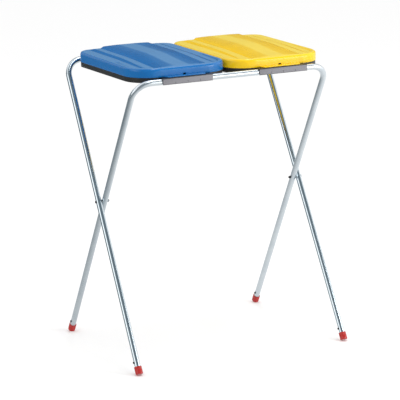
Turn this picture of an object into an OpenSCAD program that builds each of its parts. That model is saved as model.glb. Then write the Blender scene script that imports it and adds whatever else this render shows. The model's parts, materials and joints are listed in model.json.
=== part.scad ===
// Folding waste sack stand for two sacks.
// Two bent tube frames cross like scissors and carry two bag rings with hinged lids.
// X runs along the stand, the front faces -Y, +Z is up, and the floor is z = 0.

/* [Frames] */
// Height of the front top bar, to its centre line
front_bar_z = 910; // [760:1:1060]
// Height of the scissor pivots
pivot_z = 501; // [420:1:560]
// Lean of the legs from the vertical, in degrees
leg_lean = 29.8; // [22:0.1:34]
// Outward splay of the legs, in degrees
leg_splay = 0.6; // [0:0.1:1.5]
// Width of the front (inner) frame at its top bar, between leg centre lines
inner_frame_w = 681; // [660:1:900]
// Outer diameter of the frame tube
tube_d = 19; // [16:0.5:24]
// Wall of the frame tube
tube_wall = 1.2; // [1:0.1:2.5]
// Bend radius of the tube, to its centre line
bend_r = 57; // [40:1:70]
// How much the tube's radius shrinks in a bend
bend_thinning = 0.03; // [0.01:0.01:0.2]

/* [Scissor pivots] */
// Free gap between an outer leg and the inner leg beside it
leg_gap = 1.5; // [1:0.1:4]
// Diameter of the pivot bolt's shank
bolt_d = 5; // [4:0.5:6]
// Diameter of the bolt's domed head
bolt_head_d = 9; // [8:0.5:14]
// Height of the bolt's domed head
bolt_head_h = 3.4; // [2.5:0.1:6]
// Diameter of the spacer between the legs
spacer_d = 11; // [9:0.5:16]
// Radial running clearance of the pivot bolt in the inner leg
bolt_clearance = 0.05; // [0.03:0.01:0.1]
// Play along the bolt between the inner leg and the spacer or nut beside it
pivot_play = 0.2; // [0.15:0.05:0.5]
// Width across the flats of the cap nut
nut_af = 8; // [7.5:0.5:13]
// Height of the cap nut's hexagon
nut_h = 4; // [3:0.5:7]
// How much smaller the nut's dome is than its hexagon, per side
nut_dome_inset = 0.5; // [0.3:0.1:1]

/* [Feet] */
// Wall of a foot cap round the tube
cap_wall = 2.45; // [1.5:0.05:5]
// Length of a foot cap along the leg
cap_len = 25; // [18:1:45]
// Thickness of the cap's floor under the tube end
cap_floor = 4; // [3:0.5:7]
// Radius of the cap's lower edge
cap_edge_r = 2.5; // [1:0.5:3]
// Depth of the flat that the floor bears on, cut into the tilted cap
cap_flat = 0.8; // [0.5:0.1:1.5]
// Distance of a foot rivet above the cap's top edge, along the leg
rivet_above_cap = 14; // [9:1:30]
// Diameter of a foot rivet's shank
rivet_d = 4; // [3:0.5:5]
// Diameter of a foot rivet's head
rivet_head_d = 7.5; // [6:0.5:9]
// Height of a foot rivet's head
rivet_head_h = 3.4; // [2:0.1:5]
// Straight rim under every domed head
head_rim = 1; // [0.3:0.1:1.5]
// Radial fit of a cap or rivet on the tube
push_fit = 0.05; // [0.02:0.01:0.1]

/* [Bag rings] */
// Distance between the centres of the two bag rings
ring_pitch = 338; // [300:1:420]
// Sideways shift of both rings along the bars
ring_shift = 6; // [-10:1:10]
// Outside width of a lid; the ring below it is slightly smaller
lid_w = 336; // [280:1:345]
// Gap between a top bar and the lid's skirt beside it
bar_gap = 2.7; // [2:0.1:6]
// How far the ring's outline lies inside the lid's
ring_inset = 1.5; // [1.5:0.1:4]
// Height of the ring's outer band
band_h = 15.7; // [12:0.1:20]
// Wall of the ring's outer band
band_t = 3; // [2:0.5:4]
// Distance from the ring's outer face to the collar's outer face
collar_offset = 11; // [9:0.5:20]
// Height of the bag collar above the ring's top face
collar_h = 15; // [8:0.5:18]
// Wall of the bag collar
collar_t = 2.5; // [2:0.5:4]
// Corner radius of lid and ring at the front
front_corner_r = 85; // [60:1:100]
// Corner radius of lid and ring at the rear
rear_corner_r = 45; // [30:1:60]

/* [Front clips] */
// Length of a front clip along the bar
clip_len = 172; // [120:1:200]
// Wall of the clip
clip_t = 2.3; // [2:0.1:4]
// Height of the clip's front face
clip_face_h = 20.7; // [16:0.1:26]
// Gap between the clip and the bar it hooks over
clip_clearance = 0.3; // [0.2:0.05:0.6]
// Thickness of a clip over the front bar, which sets how much higher the rear bar is
clip_top_t = 2.4; // [1.5:0.1:5]
// Width of the slots that part the clip's spring fingers
finger_slot_w = 1.2; // [0.8:0.1:3]
// Number of spring fingers on a clip
finger_count = 4; // [2:1:6]
// Height of the clip's rear edge above the bar's centre, so that the bar can drop out
clip_rear_up = 3.5; // [3:0.1:6]
// Distance between the two screws of a clip
clip_screw_pitch = 120; // [60:1:150]
// Height of the clip screws above the bar's centre
clip_screw_up = 5.8; // [5.2:0.1:6]
// Diameter of a clip screw
screw_d = 3; // [2.5:0.1:3.2]
// Length of a clip screw under its head
screw_len = 6; // [5:0.5:6.5]
// Diameter of a clip screw's head
screw_head_d = 6; // [5:0.5:6]
// Height of a clip screw's head
screw_head_h = 2.4; // [1.8:0.1:3]
// Radial fit of a screw in its hole
screw_fit = 0.02; // [0.01:0.01:0.1]

/* [Lids] */
// Height of a lid's edge above its lower rim
lid_edge_h = 28.5; // [24:0.5:40]
// Height of the raised middle panel above the lid's edge
panel_h = 15; // [10:0.5:20]
// Half width of the raised panel at its foot
panel_half_w = 129; // [122:1:131]
// Half width between the two upper steps of the panel
step_half_w = 84; // [70:1:95]
// Half width of the panel's flat crest
crest_half_w = 30; // [20:1:50]
// Height of the panel's lower step
low_step_h = 4.2; // [2:0.1:6]
// Height of the panel's upper step
high_step_h = 5.4; // [2:0.1:6]
// Run of each step in plan
step_run = 12; // [8:1:16]
// Distance from the lid's front to where the panel starts to rise
panel_start = 34; // [20:1:60]
// Distance from the lid's front to where the panel has its full height
panel_full = 170; // [120:1:220]
// Distance from the lid's rear edge to the panel's rear edge
panel_rear = 12; // [10:1:30]
// Wall of a lid
lid_wall = 2.5; // [2:0.1:4]
// Rounding of the lid's upper edge
lid_edge_r = 9; // [4:0.5:12]
// Running gap between a closed lid and the ring below it
lid_gap = 0.3; // [0.3:0.1:1]
// Width of the finger lip
lip_w = 142; // [80:1:180]
// How far the finger lip stands out from the skirt
lip_out = 18; // [11:1:22]
// Thickness of the finger lip
lip_t = 3; // [2:0.5:5]
// Corner radius of the finger lip
lip_r = 10; // [4:1:10]
// Width of the catch window above the lip
window_w = 10; // [6:1:16]
// Height of the catch window
window_h = 4.5; // [3:0.5:8]

/* [Hinges on the rear bar] */
// Height of the rings' top face below the rear bar's centre
ring_drop = 0.8; // [0.5:0.1:3]
// Extra room between the lids and the rear bar, where the hinge hooks turn
hinge_room = 3.5; // [2.5:0.5:8]
// Wall of the hinge hooks that turn on the rear bar
hook_wall = 3.5; // [2.5:0.5:5]
// Radial running clearance between a hook and the rear bar
hook_clearance = 0.3; // [0.3:0.05:0.6]
// Width of a lid hook
lid_hook_w = 36; // [20:1:44]
// Distance from a lid's middle to the middle of its hook
lid_hook_x = 60; // [45:1:65]
// Width of a ring hook
ring_hook_w = 30; // [18:1:34]
// Distance from a ring's middle to the middle of its hook
ring_hook_x = 108; // [100:1:112]
// Angle of the snap-in mouth of a hook
hook_mouth = 76; // [50:1:90]
// Direction of a ring hook's mouth, in degrees below the horizontal
ring_mouth_at = 50; // [40:1:60]
// Direction of a lid hook's mouth, in degrees below the horizontal
lid_mouth_at = 90; // [80:1:95]
// Height of a ring hook's arm below the ring's top face
ring_arm_drop = 1; // [0.5:0.1:3]
// Height of a lid hook's arm above the rear bar's centre
lid_arm_up = 0.2; // [0.1:0.1:2]

/* [Hidden] */
$fn = 64;
SIDES = [-1, 1];
EPS = 0.01;
// How far cutting solids run past what they cut
CUT = 1;
tube_r = tube_d / 2;
cap_d = tube_d + 2 * (push_fit + cap_wall);
// The lids sit level on the clips, so the rear bar is higher than the front one
rear_bar_z = front_bar_z + tube_r + clip_clearance + clip_top_t + ring_drop;
front_y = -(front_bar_z - pivot_z) * tan(leg_lean);
rear_y = (rear_bar_z - pivot_z) * tan(leg_lean);
inner_half_w = inner_frame_w / 2;
leg_step = tube_d + leg_gap;
// The outer legs run one leg step outside the inner legs at every height
outer_half_w = inner_half_w + leg_step - splay_at(rear_bar_z - front_bar_z);

// Legs, measured along the sloping frame plane from the top bar
function slope(drop) = drop / cos(leg_lean);
function splay_at(drop) = slope(drop) * tan(leg_splay);
function inner_leg_x(z) = inner_half_w + splay_at(front_bar_z - z);
function outer_leg_x(z) = outer_half_w + splay_at(rear_bar_z - z);

// Feet: distance from the floor point of the leg's axis up to the cap's end
cap_end_r = cap_d / 2 - cap_edge_r;
cap_low = cap_end_r * sin(leg_lean) + cap_edge_r * (1 - cos(leg_lean));
cap_up = (cap_low - cap_flat) / cos(leg_lean);
tube_up = cap_up + cap_floor;
rivet_up = cap_up + cap_len + rivet_above_cap;

// Lids and rings
ring_top = rear_bar_z - ring_drop;
lid_low = ring_top + lid_gap;
lid_front = front_y + tube_r + bar_gap;
lid_rear = rear_y - tube_r - bar_gap - hinge_room;
ring_low = ring_top - band_h;
lid_top = lid_low + lid_edge_h;
RING_X = [ring_shift - ring_pitch / 2, ring_shift + ring_pitch / 2];
hook_bore_r = tube_r + hook_clearance;
hook_r = hook_bore_r + hook_wall;

// Colours
STEEL = "lightslategray";
BLACK = [0.16, 0.15, 0.15];
RED = [0.75, 0.16, 0.14];
BLUE = [0.10, 0.40, 0.72];
YELLOW = [0.98, 0.82, 0.05];

// ---------- frames ----------

// One frame's centre-line path as a solid of radius r: bar along X at the origin, legs down.
// The bends are a hair thinner than the straights, as a drawn tube is.
module frame_path(half_w, leg_len, r) {
    turn = 90 - leg_splay;
    tangent = bend_r * tan(turn / 2);
    rotate([0, 90, 0]) cylinder(h = 2 * (half_w - tangent), r = r, center = true);
    for (side = SIDES) mirror([side < 0 ? 1 : 0, 0, 0]) {
        translate([half_w - tangent, 0, -bend_r]) rotate([90, 0, 0]) rotate([0, 0, 90 - turn])
            rotate_extrude(angle = turn) translate([bend_r, 0]) circle(r = r - bend_thinning);
        translate([half_w, 0, 0]) rotate([0, 180 - leg_splay, 0])
            translate([0, 0, tangent]) cylinder(h = leg_len - tangent, r = r);
    }
}

// A hollow frame standing in place; lean is the signed angle of its plane
module tube_frame(half_w, bar_y, bar_z, lean) {
    leg_len = bar_z / cos(leg_lean) / cos(leg_splay) - tube_up;
    translate([0, bar_y, bar_z]) rotate([lean, 0, 0]) difference() {
        frame_path(half_w, leg_len, tube_r);
        frame_path(half_w, leg_len + CUT, tube_r - tube_wall);
    }
}

// Cross holes of both pivots
module pivot_holes(leg_x) {
    for (side = SIDES) translate([side * leg_x, 0, pivot_z]) rotate([0, 90, 0])
        cylinder(h = tube_d + 2 * CUT, d = bolt_d + 2 * bolt_clearance, center = true);
}

// Places children on a foot's leg axis, with +Z pointing up the leg from the floor point
module at_foot(side, is_outer) {
    x = is_outer ? outer_leg_x(0) : inner_leg_x(0);
    y = is_outer ? rear_y - rear_bar_z * tan(leg_lean) : front_y + front_bar_z * tan(leg_lean);
    translate([side * x, y, 0]) rotate([is_outer ? -leg_lean : leg_lean, 0, 0])
        rotate([0, -side * leg_splay, 0]) children();
}

module rivet_holes(is_outer) {
    for (side = SIDES) at_foot(side, is_outer) translate([0, 0, rivet_up]) rotate([0, 90, 0])
        cylinder(h = tube_d + 2 * CUT, d = rivet_d + 2 * push_fit, center = true);
}

module outer_frame() {
    color(STEEL) difference() {
        tube_frame(outer_half_w, rear_y, rear_bar_z, -leg_lean);
        pivot_holes(outer_leg_x(pivot_z));
        rivet_holes(true);
    }
}

module inner_frame() {
    color(STEEL) difference() {
        tube_frame(inner_half_w, front_y, front_bar_z, leg_lean);
        pivot_holes(inner_leg_x(pivot_z));
        rivet_holes(false);
    }
}

// ---------- feet ----------

module foot_cap(side, is_outer) {
    color(RED) difference() {
        at_foot(side, is_outer) difference() {
            translate([0, 0, cap_up]) rotate_extrude() {
                translate([0, cap_edge_r]) square([cap_d / 2, cap_len - cap_edge_r]);
                square([cap_end_r, cap_edge_r + EPS]);
                translate([cap_end_r, cap_edge_r]) circle(r = cap_edge_r);
            }
            translate([0, 0, tube_up]) cylinder(h = cap_len, r = tube_r + push_fit);
        }
        below_floor();
    }
}

// Everything under the floor, which trims the caps to flats
module below_floor() {
    translate([0, 0, -cap_len]) cube([3 * inner_frame_w, 2 * rear_bar_z, 2 * cap_len], center = true);
}

// Two rivets through the lower legs of one frame, domed on the left and flush on the right
module foot_rivets(is_outer) {
    color(BLACK) for (side = SIDES) at_foot(side, is_outer) translate([0, 0, rivet_up]) {
        rotate([0, 90, 0]) cylinder(h = tube_d + 2 * EPS, d = rivet_d, center = true);
        rotate([0, -90, 0]) translate([0, 0, tube_r]) domed_head(rivet_head_d, rivet_head_h);
    }
}

// A domed head standing on z = 0: a straight rim with a spherical cap on it
module domed_head(d, h) {
    dome_h = h - head_rim;
    dome_r = (d * d / 4 + dome_h * dome_h) / (2 * dome_h);
    intersection() {
        translate([0, 0, h - dome_r]) sphere(r = dome_r);
        cylinder(h = h + CUT, d = d);
    }
}

// ---------- pivots ----------

module pivot_bolt(side) {
    outer_x = outer_leg_x(pivot_z) + tube_r;
    inner_x = inner_leg_x(pivot_z) - tube_r;
    color(BLACK) mirror([side < 0 ? 1 : 0, 0, 0]) translate([0, 0, pivot_z]) rotate([0, 90, 0]) {
        translate([0, 0, inner_x - nut_h]) cylinder(h = outer_x - inner_x + nut_h + EPS, d = bolt_d);
        translate([0, 0, outer_x]) domed_head(bolt_head_d, bolt_head_h);
    }
}

// Washer on the bolt between the two legs; it seats on the outer leg
module pivot_spacer(side) {
    spacer_t = leg_gap - pivot_play - splay_at(spacer_d / 2) - EPS;
    color("silver") translate([side * (inner_leg_x(pivot_z) + tube_r + pivot_play), 0, pivot_z])
        rotate([0, side * 90, 0]) difference() {
            cylinder(h = spacer_t, d = spacer_d);
            translate([0, 0, -CUT]) cylinder(h = spacer_t + 2 * CUT, d = bolt_d + 2 * bolt_clearance);
        }
}

// Cap nut on the inner side of the inner leg
module pivot_nut(side) {
    face_x = inner_leg_x(pivot_z) - tube_r - pivot_play;
    dome_r = nut_af / 2 - nut_dome_inset;
    color("silver") translate([side * face_x, 0, pivot_z]) rotate([0, -side * 90, 0]) difference() {
        union() {
            cylinder(h = nut_h, d = nut_af / cos(30), $fn = 6);
            translate([0, 0, nut_h]) intersection() {
                sphere(r = dome_r);
                translate([-dome_r, -dome_r, -CUT]) cube([2 * dome_r, 2 * dome_r, dome_r + 2 * CUT]);
            }
        }
        translate([0, 0, -CUT]) cylinder(h = nut_h + CUT, d = bolt_d + 2 * bolt_clearance);
    }
}

// ---------- shared outline of lid and ring ----------

// Plan outline of a lid, drawn inwards by inset
module plan(inset) {
    half = lid_w / 2 - inset;
    y0 = lid_front + inset;
    y1 = lid_rear - inset;
    rf = front_corner_r - inset;
    rr = rear_corner_r - inset;
    translate([-half, y0 + rf]) square([2 * half, y1 - rr - y0 - rf]);
    translate([rf - half, y0]) square([2 * (half - rf), rf + EPS]);
    translate([rr - half, y1 - rr - EPS]) square([2 * (half - rr), rr + EPS]);
    for (side = SIDES) {
        translate([side * (half - rf), y0 + rf]) circle(r = rf, $fn = 96);
        translate([side * (half - rr), y1 - rr]) circle(r = rr, $fn = 96);
    }
}

module plate(inset, z0, z1) {
    translate([0, 0, z0]) linear_extrude(z1 - z0) plan(inset);
}

// Band between two insets of the outline
module wall(inset_out, inset_in, z0, z1) {
    translate([0, 0, z0]) linear_extrude(z1 - z0) difference() {
        plan(inset_out);
        plan(inset_in);
    }
}

// C-shaped hook on the rear bar with an arm forward to arm_y; the mouth points mouth_at degrees
// below the rearward horizontal
module bar_hook(w, arm_z0, arm_z1, arm_y, mouth_at) {
    translate([-w / 2, rear_y, rear_bar_z]) rotate([90, 0, 90]) difference() {
        union() {
            cylinder(h = w, r = hook_r);
            translate([arm_y - rear_y, arm_z0 - rear_bar_z, 0])
                cube([rear_y - arm_y, arm_z1 - arm_z0, w]);
        }
        translate([0, 0, -CUT]) cylinder(h = w + 2 * CUT, r = hook_bore_r);
        translate([0, 0, -CUT]) linear_extrude(w + 2 * CUT) rotate(-mouth_at) polygon([
            [0, 0],
            [2 * hook_r, -2 * hook_r * tan(hook_mouth / 2)],
            [2 * hook_r, 2 * hook_r * tan(hook_mouth / 2)]
        ]);
    }
}

// ---------- bag rings ----------

module bag_ring(x) {
    collar_out = ring_inset + collar_offset;
    color(BLACK) translate([x, 0, 0]) difference() {
        union() {
            wall(ring_inset, ring_inset + band_t, ring_low, ring_top);
            wall(ring_inset, collar_out + collar_t, ring_top - band_t, ring_top);
            wall(collar_out, collar_out + collar_t, ring_top - band_t, ring_top + collar_h);
            for (side = SIDES) translate([side * ring_hook_x, 0, 0])
                bar_hook(ring_hook_w, rear_bar_z - hook_r, ring_top - ring_arm_drop,
                    lid_rear - ring_inset - band_t / 2, ring_mouth_at);
        }
        clip_screw_holes();
    }
}

// Screw holes from the inside of the band into the clip, for one ring
module clip_screw_holes() {
    for (side = SIDES) translate([side * clip_screw_pitch / 2, clip_head_y + CUT, clip_screw_z])
        rotate([90, 0, 0]) cylinder(h = screw_len + CUT + EPS, d = screw_d + 2 * screw_fit);
}

// ---------- front clips ----------

clip_bore_r = tube_r + clip_clearance;
clip_face_y = front_y - clip_bore_r - clip_t;
clip_seat_y = lid_front + ring_inset;
clip_low = ring_top - clip_face_h;
clip_screw_z = front_bar_z + clip_screw_up;
clip_head_y = clip_seat_y + band_t;

module front_clip(x) {
    color(BLACK) translate([x, 0, 0]) difference() {
        translate([-clip_len / 2, 0, 0]) rotate([90, 0, 90]) linear_extrude(clip_len) difference() {
            translate([clip_face_y, clip_low])
                square([clip_seat_y - clip_face_y, ring_top - clip_low]);
            translate([front_y, front_bar_z]) circle(r = clip_bore_r);
            translate([front_y - clip_bore_r, clip_low - CUT])
                square([2 * clip_bore_r, front_bar_z - clip_low + CUT]);
            translate([front_y, clip_low - CUT])
                square([clip_seat_y - front_y + CUT, front_bar_z + clip_rear_up - clip_low + CUT]);
        }
        for (i = [1 : finger_count - 1])
            translate([(i / finger_count - 0.5) * clip_len - finger_slot_w / 2,
                clip_face_y - CUT, clip_low - CUT])
                cube([finger_slot_w, clip_t + 2 * CUT, front_bar_z - clip_low + CUT]);
        clip_screw_holes();
    }
}

// Two pan-head screws driven from inside the ring into the clip
module clip_screws(x) {
    color("silver") translate([x, 0, 0]) for (side = SIDES)
        translate([side * clip_screw_pitch / 2, clip_head_y, clip_screw_z]) rotate([-90, 0, 0]) {
            translate([0, 0, -screw_len]) cylinder(h = screw_len + EPS, d = screw_d);
            domed_head(screw_head_d, screw_head_h);
        }
}

// ---------- lids ----------

// Section of a rounded rim: r wide from the inside out, with a round upper outer edge
module rim_section(r, z0, z1, edge_r) {
    translate([0, z0]) square([r, z1 - edge_r - z0]);
    translate([0, z0]) square([r - edge_r, z1 - z0]);
    translate([r - edge_r, z1 - edge_r]) circle(r = edge_r);
}

// Solid with the lid's outline and a rounded upper edge, put together from rims and corners
module soft_slab(inset, z0, z1, edge_r) {
    half = lid_w / 2 - inset;
    y0 = lid_front + inset;
    y1 = lid_rear - inset;
    rf = front_corner_r - inset;
    rr = rear_corner_r - inset;
    side_len = y1 - rr - y0 - rf;
    translate([rf - half, y0 + rf, z0]) cube([2 * (half - rf), side_len, z1 - z0]);
    for (side = SIDES) {
        translate([side * (half - rf), y1 - rr, 0]) mirror([side < 0 ? 1 : 0, 0, 0]) rotate([90, 0, 0])
            linear_extrude(side_len) rim_section(rf, z0, z1, edge_r);
        translate([side * (half - rf), y0 + rf, 0]) rotate([0, 0, side > 0 ? 270 : 180])
            rotate_extrude(angle = 90, $fn = 96) rim_section(rf, z0, z1, edge_r);
        translate([side * (half - rr), y1 - rr, 0]) rotate([0, 0, side > 0 ? 0 : 90])
            rotate_extrude(angle = 90, $fn = 96) rim_section(rr, z0, z1, edge_r);
    }
    translate([half - rf, y0 + rf, 0]) rotate([90, 0, -90])
        linear_extrude(2 * (half - rf)) rim_section(rf, z0, z1, edge_r);
    translate([rr - half, y1 - rr, 0]) rotate([90, 0, 90])
        linear_extrude(2 * (half - rr)) rim_section(rr, z0, z1, edge_r);
}

// Right half of the section across the raised panel, from the crest out to the foot
function panel_half(foot) = [
    [crest_half_w, panel_h],
    [step_half_w - step_run / 2, low_step_h + high_step_h],
    [step_half_w + step_run / 2, low_step_h],
    [panel_half_w - step_run, low_step_h],
    [panel_half_w + foot, -foot]
];

// Raised panel in two steps that fades out towards the front
module raised_panel() {
    foot = 2;
    rear = lid_rear - panel_rear;
    shoulder_h = low_step_h + high_step_h;
    intersection() {
        translate([0, lid_rear, lid_top]) rotate([90, 0, 0]) linear_extrude(lid_rear - lid_front)
            for (side = SIDES) polygon(concat([[0, -foot], [0, panel_h]],
                [for (p = panel_half(foot)) [side * p[0], p[1]]]));
        translate([-lid_w / 2, 0, lid_top]) rotate([90, 0, 90]) linear_extrude(lid_w) polygon([
            [lid_front + panel_start, -foot],
            [lid_front + panel_full, panel_h],
            [rear - step_run, panel_h],
            [rear - lid_wall, shoulder_h],
            [rear, -foot]
        ]);
    }
}

// Finger lip along the middle of the front rim
module finger_lip() {
    translate([0, 0, lid_low]) linear_extrude(lip_t) {
        translate([-lip_w / 2, lid_front - lip_out + lip_r]) square([lip_w, lip_out - lip_r + lid_wall]);
        translate([lip_r - lip_w / 2, lid_front - lip_out]) square([lip_w - 2 * lip_r, lip_r + EPS]);
        for (side = SIDES)
            translate([side * (lip_w / 2 - lip_r), lid_front - lip_out + lip_r]) circle(r = lip_r);
    }
}

module lid(x, tint) {
    color(tint) translate([x, 0, 0]) difference() {
        union() {
            soft_slab(0, lid_low, lid_top, lid_edge_r);
            raised_panel();
            finger_lip();
            for (side = SIDES) translate([side * lid_hook_x, 0, 0])
                bar_hook(lid_hook_w, rear_bar_z + lid_arm_up, rear_bar_z + hook_r, lid_rear - lid_wall / 2,
                    lid_mouth_at);
        }
        soft_slab(lid_wall, lid_low - CUT, lid_top - lid_wall, lid_edge_r - lid_wall);
        translate([0, 0, -lid_wall]) raised_panel();
        translate([-window_w / 2, lid_front - CUT, lid_low + lip_t])
            cube([window_w, lid_wall + 2 * CUT, window_h]);
    }
}

// ---------- nodes ----------

outer_frame();
inner_frame();
foot_cap(-1, true);  // foot_cap_front_left
foot_cap(1, true);  // foot_cap_front_right
foot_cap(-1, false);  // foot_cap_rear_left
foot_cap(1, false);  // foot_cap_rear_right
foot_rivets(true);  // foot_rivets_outer
foot_rivets(false);  // foot_rivets_inner
pivot_bolt(-1);  // pivot_bolt_left
pivot_bolt(1);  // pivot_bolt_right
pivot_spacer(-1);  // pivot_spacer_left
pivot_spacer(1);  // pivot_spacer_right
pivot_nut(-1);  // pivot_nut_left
pivot_nut(1);  // pivot_nut_right
bag_ring(RING_X[0]);  // bag_ring_left
bag_ring(RING_X[1]);  // bag_ring_right
front_clip(RING_X[0]);  // front_clip_left
front_clip(RING_X[1]);  // front_clip_right
clip_screws(RING_X[0]);  // clip_screws_left
clip_screws(RING_X[1]);  // clip_screws_right
lid(RING_X[0], BLUE);  // lid_left
lid(RING_X[1], YELLOW);  // lid_right
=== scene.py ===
"""Looks of a folding two-sack waste stand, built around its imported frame.

Lengths are metres in the frame's own axes: X along the top bars, -Y to the front, +Z up.
"""

import json
import logging
import math
from dataclasses import dataclass, field
from enum import Enum

import bmesh
import bpy
from mathutils import Matrix, Vector


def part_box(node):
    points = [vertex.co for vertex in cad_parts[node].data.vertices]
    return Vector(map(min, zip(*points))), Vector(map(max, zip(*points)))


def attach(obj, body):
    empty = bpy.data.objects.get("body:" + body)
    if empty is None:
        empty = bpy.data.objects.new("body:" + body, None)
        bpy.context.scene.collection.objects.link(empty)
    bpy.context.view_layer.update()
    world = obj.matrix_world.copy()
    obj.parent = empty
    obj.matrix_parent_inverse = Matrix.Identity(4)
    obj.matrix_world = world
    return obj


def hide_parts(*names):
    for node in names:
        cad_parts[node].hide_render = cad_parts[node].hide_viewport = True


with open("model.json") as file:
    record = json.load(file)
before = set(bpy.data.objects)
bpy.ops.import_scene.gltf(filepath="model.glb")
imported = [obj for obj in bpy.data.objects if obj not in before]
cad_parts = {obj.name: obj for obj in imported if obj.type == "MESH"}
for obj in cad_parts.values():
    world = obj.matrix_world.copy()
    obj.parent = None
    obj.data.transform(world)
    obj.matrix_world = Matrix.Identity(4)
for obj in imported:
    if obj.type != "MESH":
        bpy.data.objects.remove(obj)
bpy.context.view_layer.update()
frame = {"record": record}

LOG = logging.getLogger("sack_stand")
MM = 0.001
TUBE_UV = "tube_uv"
PAINTED_LIGHT_MASK = "painted_light_mask"
Point2 = tuple[float, float]
Colour = tuple[float, float, float]


class Side(Enum):
    """Left or right half of the stand, seen from the front."""

    LEFT = -1
    RIGHT = 1

    @property
    def tag(self) -> str:
        """Ending of the node and piece names on this side."""
        return self.name.lower()


class Leaning(Enum):
    """Which way a frame's legs run below its top bar."""

    TO_FRONT = -1
    TO_REAR = 1


# ---------------------------------------------------------------- mesh helpers


def smoothstep(low: float, high: float, value: float) -> float:
    """Ease from 0 at low to 1 at high.

    Args:
        low: Value at which the ease starts.
        high: Value at which it ends.
        value: Value to ease.

    Returns:
        A factor from 0 to 1.
    """
    t = min(1.0, max(0.0, (value - low) / (high - low)))
    return t * t * (3.0 - 2.0 * t)


def arc(centre: Point2, radius: float, start: float, end: float, steps: int) -> list[Point2]:
    """Points along an arc.

    Args:
        centre: Centre of the arc.
        radius: Its radius.
        start: First angle in degrees.
        end: Last angle in degrees.
        steps: Number of equal steps between them.

    Returns:
        The points, both ends included.
    """
    angles = [math.radians(start + (end - start) * i / steps) for i in range(steps + 1)]
    return [(centre[0] + radius * math.cos(a), centre[1] + radius * math.sin(a)) for a in angles]


def rounded(corners: list[tuple[float, float, float]], steps: int = 3) -> list[Point2]:
    """Round the corners of a closed polygon.

    Args:
        corners: Corner points as (u, v, radius), in order.
        steps: Steps in each rounded corner.

    Returns:
        The outline with every corner replaced by a curve of its radius.
    """
    points: list[Point2] = []
    count = len(corners)
    for i, (u, v, radius) in enumerate(corners):
        here = Vector((u, v))
        if radius <= 0.0:
            points.append((u, v))
            continue
        before = Vector(corners[i - 1][:2]) - here
        after = Vector(corners[(i + 1) % count][:2]) - here
        half_angle = before.angle(after) / 2.0
        reach = min(radius / math.tan(half_angle), before.length * 0.49, after.length * 0.49)
        first = here + before.normalized() * reach
        last = here + after.normalized() * reach
        for k in range(steps + 1):
            t = k / steps
            point = first * (1 - t) ** 2 + here * (2 * t * (1 - t)) + last * t**2
            points.append((point.x, point.y))
    return points


def dome(radius: float, base: float, height: float, steps: int, count: int | None = None) -> list[Point2]:
    """Profile of a dome for a lathe, from its rim up and without its tip.

    Args:
        radius: Radius of the rim.
        base: Height of the rim.
        height: Rise of the dome above its rim.
        steps: Equal steps in the quarter turn.
        count: Points to keep, where fewer than steps.

    Returns:
        The points as (radius, height).
    """
    angles = (math.pi / 2 * i / steps for i in range(count or steps))
    return [(radius * math.cos(a), base + height * math.sin(a)) for a in angles]


def direction(azimuth: float, elevation: float) -> Vector:
    """Unit direction from an azimuth, counted from the front, and an elevation, in degrees."""
    az, el = math.radians(azimuth), math.radians(elevation)
    return Vector((math.sin(az) * math.cos(el), -math.cos(az) * math.cos(el), math.sin(el)))


def shade(mesh: bmesh.types.BMesh, smooth_angle: float) -> None:
    """Shade a bmesh smooth, with edges sharper than an angle in degrees left sharp."""
    limit = math.radians(smooth_angle)
    for face in mesh.faces:
        face.smooth = True
    for edge in mesh.edges:
        edge.smooth = len(edge.link_faces) != 2 or edge.calc_face_angle(0.0) < limit


def new_object(name: str, mesh: bmesh.types.BMesh, smooth_angle: float = 35.0) -> bpy.types.Object:
    """Turn a bmesh into a linked object with smooth shading and sharp creases.

    Args:
        name: Name of the piece.
        mesh: The finished bmesh, which is freed.
        smooth_angle: Edges sharper than this many degrees stay sharp.

    Returns:
        The new object.
    """
    bmesh.ops.recalc_face_normals(mesh, faces=mesh.faces)
    shade(mesh, smooth_angle)
    data = bpy.data.meshes.new(name)
    mesh.to_mesh(data)
    mesh.free()
    made = bpy.data.objects.new(name, data)
    bpy.context.scene.collection.objects.link(made)
    return made


def bridge(mesh: bmesh.types.BMesh, rings: list[list[bmesh.types.BMVert]], closed: bool) -> None:
    """Fill quads between neighbouring rings of vertices.

    Args:
        mesh: The bmesh that holds the rings.
        rings: Rings of equal length, each joined end to start.
        closed: Whether the last ring joins the first one.
    """
    count = len(rings[0])
    last = len(rings) if closed else len(rings) - 1
    for i in range(last):
        lower, upper = rings[i], rings[(i + 1) % len(rings)]
        for k in range(count):
            j = (k + 1) % count
            mesh.faces.new((lower[k], lower[j], upper[j], upper[k]))


def turned_ring(mesh: bmesh.types.BMesh, radius: float, height: float, steps: int,
                offset: float = 0.0) -> list[bmesh.types.BMVert]:
    """Add a ring of vertices round the Z axis, turned by a share of one step."""
    angles = (math.tau * (k + offset) / steps for k in range(steps))
    return [mesh.verts.new((radius * math.cos(a), radius * math.sin(a), height)) for a in angles]


def close_prism(mesh: bmesh.types.BMesh, rings: list[list[bmesh.types.BMVert]]) -> None:
    """Join neighbouring rings and close the first and the last one."""
    bridge(mesh, rings, closed=False)
    mesh.faces.new(rings[0])
    mesh.faces.new(rings[-1])


def absorb(target: bmesh.types.BMesh, part: bmesh.types.BMesh) -> None:
    """Add the geometry of one bmesh to another, and free it."""
    spare = bpy.data.meshes.new("spare")
    part.to_mesh(spare)
    part.free()
    target.from_mesh(spare)
    bpy.data.meshes.remove(spare)


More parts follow.
